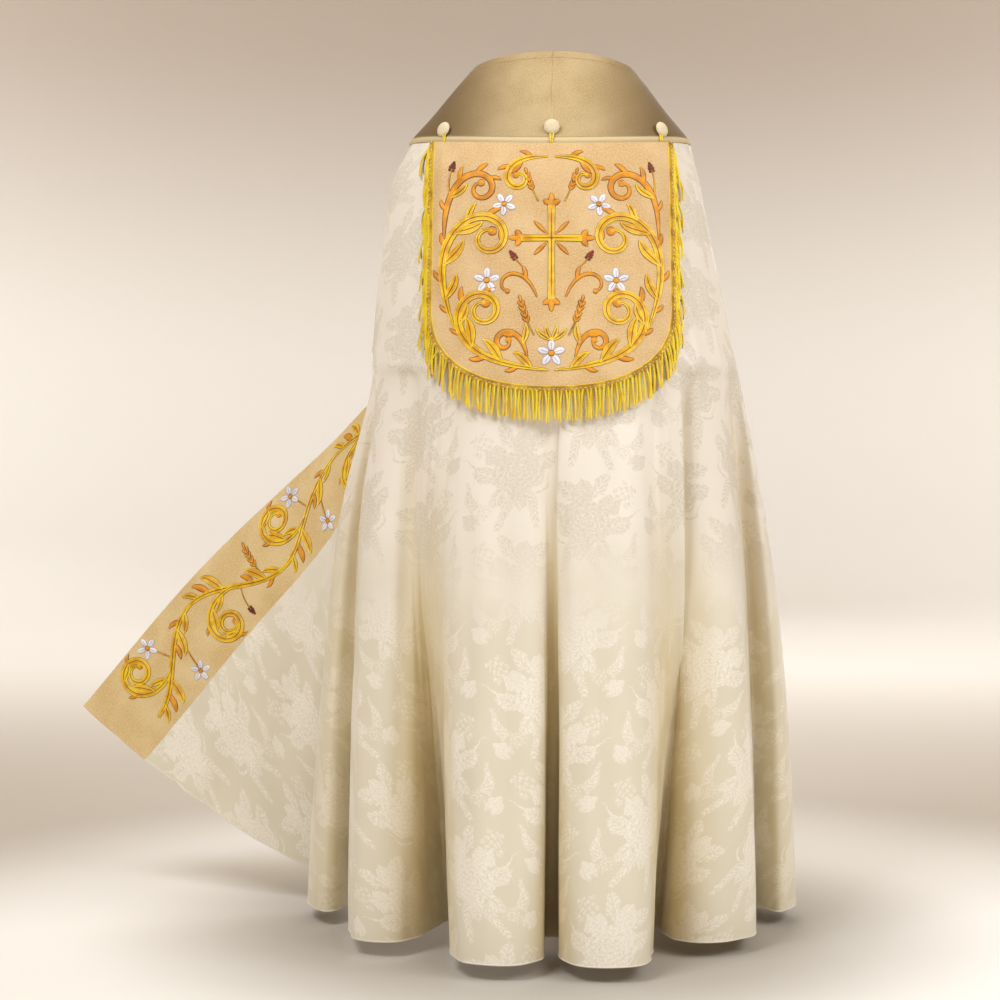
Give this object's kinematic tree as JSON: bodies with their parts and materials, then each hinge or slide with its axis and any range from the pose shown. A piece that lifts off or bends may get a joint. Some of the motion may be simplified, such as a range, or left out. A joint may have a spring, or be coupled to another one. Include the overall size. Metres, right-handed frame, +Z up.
{
  "type": "cope vestment",
  "caption": "Half-circle liturgical cloak with shoulder yoke, fringed shield-shaped hood, front bands and chest tab, filled out as worn, one front drawn out sideways",
  "frame": {"origin": "between the wearer's shoulders, at the level where the yoke rests on them", "axes": "+Z up, +Y the way the wearer faces, +X the wearer's right; the back with the hood faces -Y"},
  "size_m": [1.2449, 0.6769, 1.407],
  "materials": {
    "damask": "ivory floral silk damask",
    "gold_cloth": "warm gold rep, embroidered on hood and bands",
    "gold_thread": "lemon gold bullion thread",
    "button_cloth": "cream cloth over a domed form"
  },
  "bodies": {
    "root": {"mantle_left": "damask", "mantle_right": "damask", "yoke_left": "gold_cloth", "yoke_right": "gold_cloth", "orphrey_left": "gold_cloth", "orphrey_right": "gold_cloth", "hood": "gold_cloth", "morse": "gold_cloth", "fringe": "gold_thread", "loop_left": "gold_thread", "loop_centre": "gold_thread", "loop_right": "gold_thread", "button_left": "button_cloth", "button_centre": "button_cloth", "button_right": "button_cloth"}
  },
  "joints": []
}
